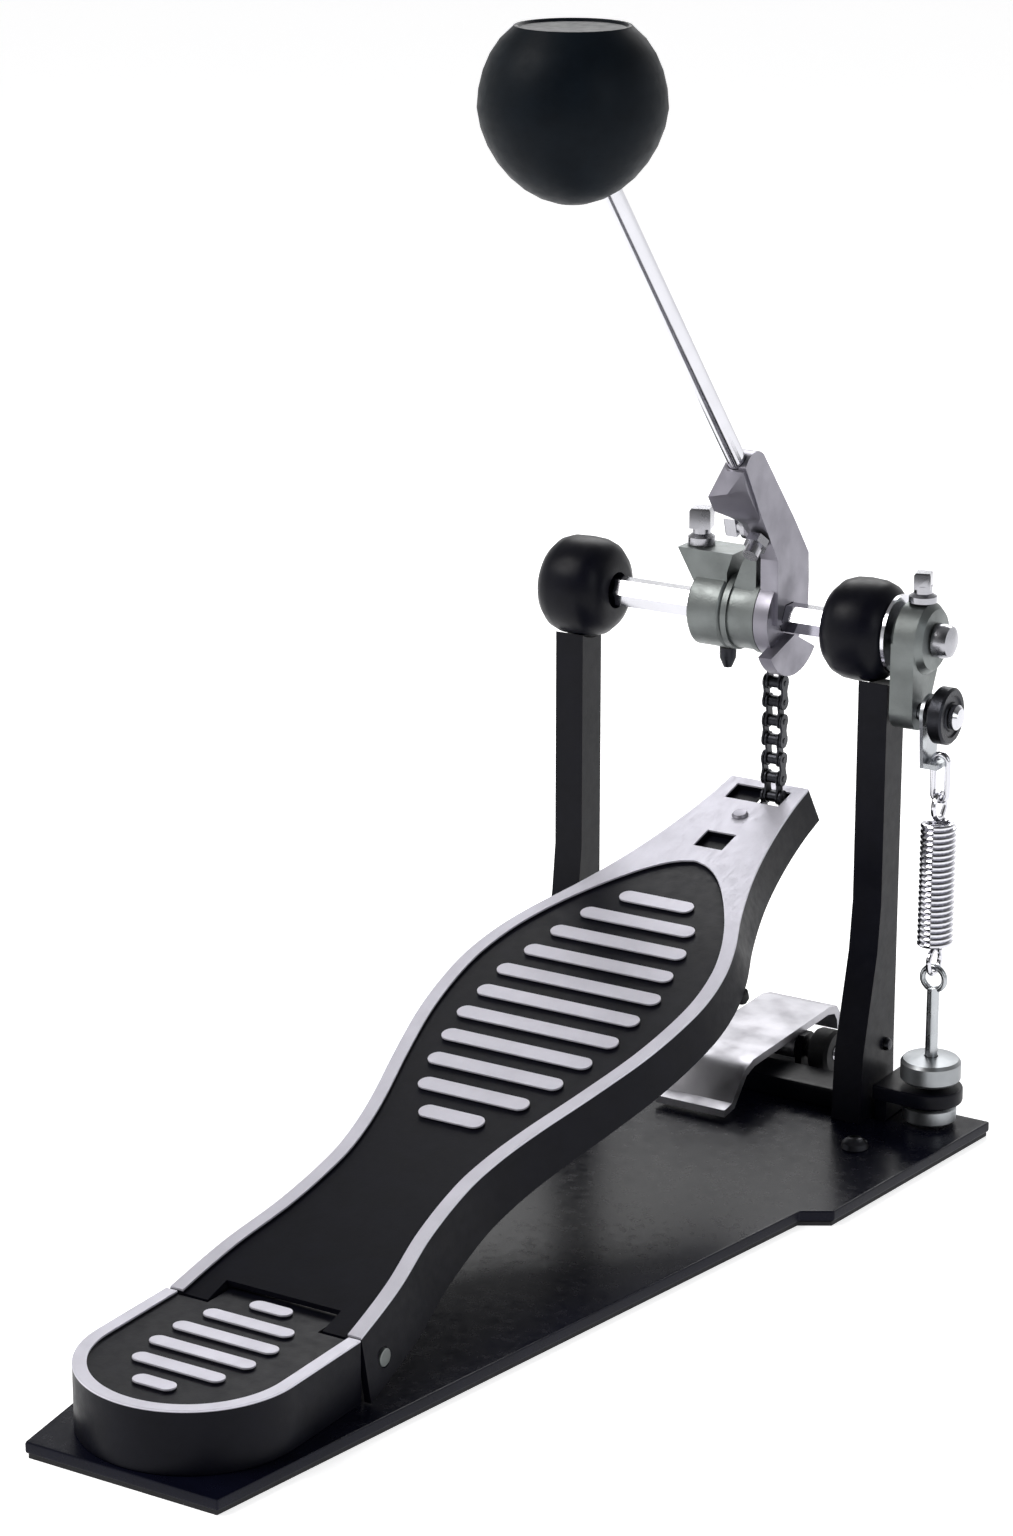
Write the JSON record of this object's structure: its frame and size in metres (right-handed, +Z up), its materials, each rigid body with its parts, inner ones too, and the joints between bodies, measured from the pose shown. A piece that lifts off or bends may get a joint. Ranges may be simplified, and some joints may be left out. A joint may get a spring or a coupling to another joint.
{
  "type": "bass drum pedal",
  "caption": "Single chain-drive bass drum pedal with a heel plate, sculpted footboard, swinging beater, side return spring, floor plate and hoop clamp.",
  "frame": {"origin": "on the floor, under the joint line between heel plate and footboard, on the centre line of the tread", "axes": "+Y towards the drum, +X to the player's right (spring side), +Z up"},
  "size_m": [0.1868, 0.4173, 0.4],
  "materials": {
    "black_casting": "blue-black powder coat with polished rims and ribs",
    "black_plate": "fine powder coat",
    "black_steel": "blackened steel",
    "rubber": "matte",
    "beater": "semi-matte black",
    "satin_alloy": "satin",
    "grey_casting": "as cast",
    "chrome": "bright",
    "zinc": "bright zinc plate"
  },
  "bodies": {
    "frame": {"base_plate": "black_plate", "base_pad": "rubber", "heel_plate": "black_casting", "hinge_pin": "zinc", "left_post": "black_casting", "right_post": "black_casting", "left_housing": "black_casting", "right_housing": "black_casting", "left_bearing": "zinc", "right_bearing": "zinc", "crossbar": "black_casting", "left_foot_bolt": "black_steel", "right_foot_bolt": "black_steel", "post_side_bolt": "black_steel", "spring_ear": "black_casting", "jaw_pin": "zinc", "jaw_bracket": "black_casting", "hoop_pad": "rubber"},
    "tread": {"footboard": "black_casting", "chain_anchor": "black_steel", "toe_screw": "zinc", "skirt_stop": "rubber"},
    "axle": {"shaft": "chrome", "shaft_nut": "chrome", "thrust_washer": "chrome", "drive_cam": "grey_casting", "chain_pin": "zinc", "adjuster_collar": "grey_casting", "collar_bolt": "chrome", "collar_spur": "black_steel", "beater_holder": "satin_alloy", "rod_key_bolt": "chrome", "rod_stop_bolt": "chrome", "rocker": "grey_casting", "rocker_key_bolt": "chrome", "rocker_pin": "chrome"},
    "beater": {"beater_rod": "chrome", "beater_head": "beater"},
    "chain": {"chain_link_01": "black_steel", "chain_link_02": "black_steel", "chain_link_03": "black_steel", "chain_link_04": "black_steel", "chain_link_05": "black_steel", "chain_link_06": "black_steel", "chain_link_07": "black_steel", "chain_link_08": "black_steel", "chain_link_09": "black_steel", "chain_link_10": "black_steel", "chain_link_11": "black_steel", "chain_link_12": "black_steel"},
    "roller": {"spring_roller": "black_steel"},
    "stirrup": {"spring_stirrup": "zinc"},
    "spring_low": {"tension_rod": "zinc", "swivel_boss": "zinc", "spring": "chrome"},
    "nut": {"tension_nut": "zinc"},
    "hook": {"spring_hook": "chrome"},
    "jaw": {"hoop_jaw": "satin_alloy"},
    "knob": {"clamp_knob": "rubber", "knob_screw": "chrome"}
  },
  "joints": [
    {"name": "pedal_swing", "type": "hinge", "parent": "frame", "child": "axle", "pos_m": [0, 0.2975, 0.18], "axis": [1, 0, 0], "range_deg": [-45, 0], "stiffness_Nm_per_rad": 0.8, "springref_deg": 20.05},
    {"name": "tread_hinge", "type": "hinge", "parent": "frame", "child": "tread", "pos_m": [0, 0.0108, 0.0165], "axis": [1, 0, 0], "range_deg": [-2.8, 0.2]},
    {"name": "chain_hang", "type": "hinge", "parent": "axle", "child": "chain", "pos_m": [0.006, 0.314, 0.186], "axis": [1, 0, 0], "range_deg": [-0.5, 48.5]},
    {"name": "beater_height", "type": "slide", "parent": "axle", "child": "beater", "axis": [0, -0.6388, 0.7694], "range_m": [-0.015, 0.03]},
    {"name": "roller_spin", "type": "hinge", "parent": "axle", "child": "roller", "pos_m": [0.0826, 0.2915, 0.1555], "axis": [1, 0, 0], "continuous": true},
    {"name": "stirrup_pivot", "type": "hinge", "parent": "axle", "child": "stirrup", "pos_m": [0.0778, 0.2915, 0.1555], "axis": [1, 0, 0], "range_deg": [-0.5, 51.5]},
    {"name": "spring_sway", "type": "hinge", "parent": "frame", "child": "spring_low", "pos_m": [0.0826, 0.2915, 0.0173], "axis": [1, 0, 0], "range_deg": [-0.2, 6.3]},
    {"name": "spring_stretch", "type": "slide", "parent": "spring_low", "child": "hook", "axis": [0, 0, 1], "range_m": [-0.0005, 0.0128], "deforming": ["spring"]},
    {"name": "tension_turn", "type": "hinge", "parent": "spring_low", "child": "nut", "pos_m": [0.0826, 0.2915, 0.025], "axis": [0, 0, 1], "continuous": true},
    {"name": "knob_turn", "type": "hinge", "parent": "frame", "child": "knob", "pos_m": [0.03, 0.3115, 0.0152], "axis": [1, 0, 0], "range_deg": [0, 180]},
    {"name": "jaw_tilt", "type": "hinge", "parent": "frame", "child": "jaw", "pos_m": [0.007, 0.3115, 0.0152], "axis": [1, 0, 0], "range_deg": [-5.2, 0.1]}
  ],
  "couplings": [
    {"joint": "tread_hinge", "follows": "pedal_swing", "ratio": 0.055673},
    {"joint": "chain_hang", "follows": "pedal_swing", "ratio": -1.0588},
    {"joint": "stirrup_pivot", "follows": "pedal_swing", "ratio": -1.132},
    {"joint": "spring_sway", "follows": "pedal_swing", "ratio": -0.132},
    {"joint": "spring_stretch", "follows": "pedal_swing", "m_per_rad": -0.015567},
    {"joint": "jaw_tilt", "follows": "knob_turn", "ratio": -0.027778}
  ]
}
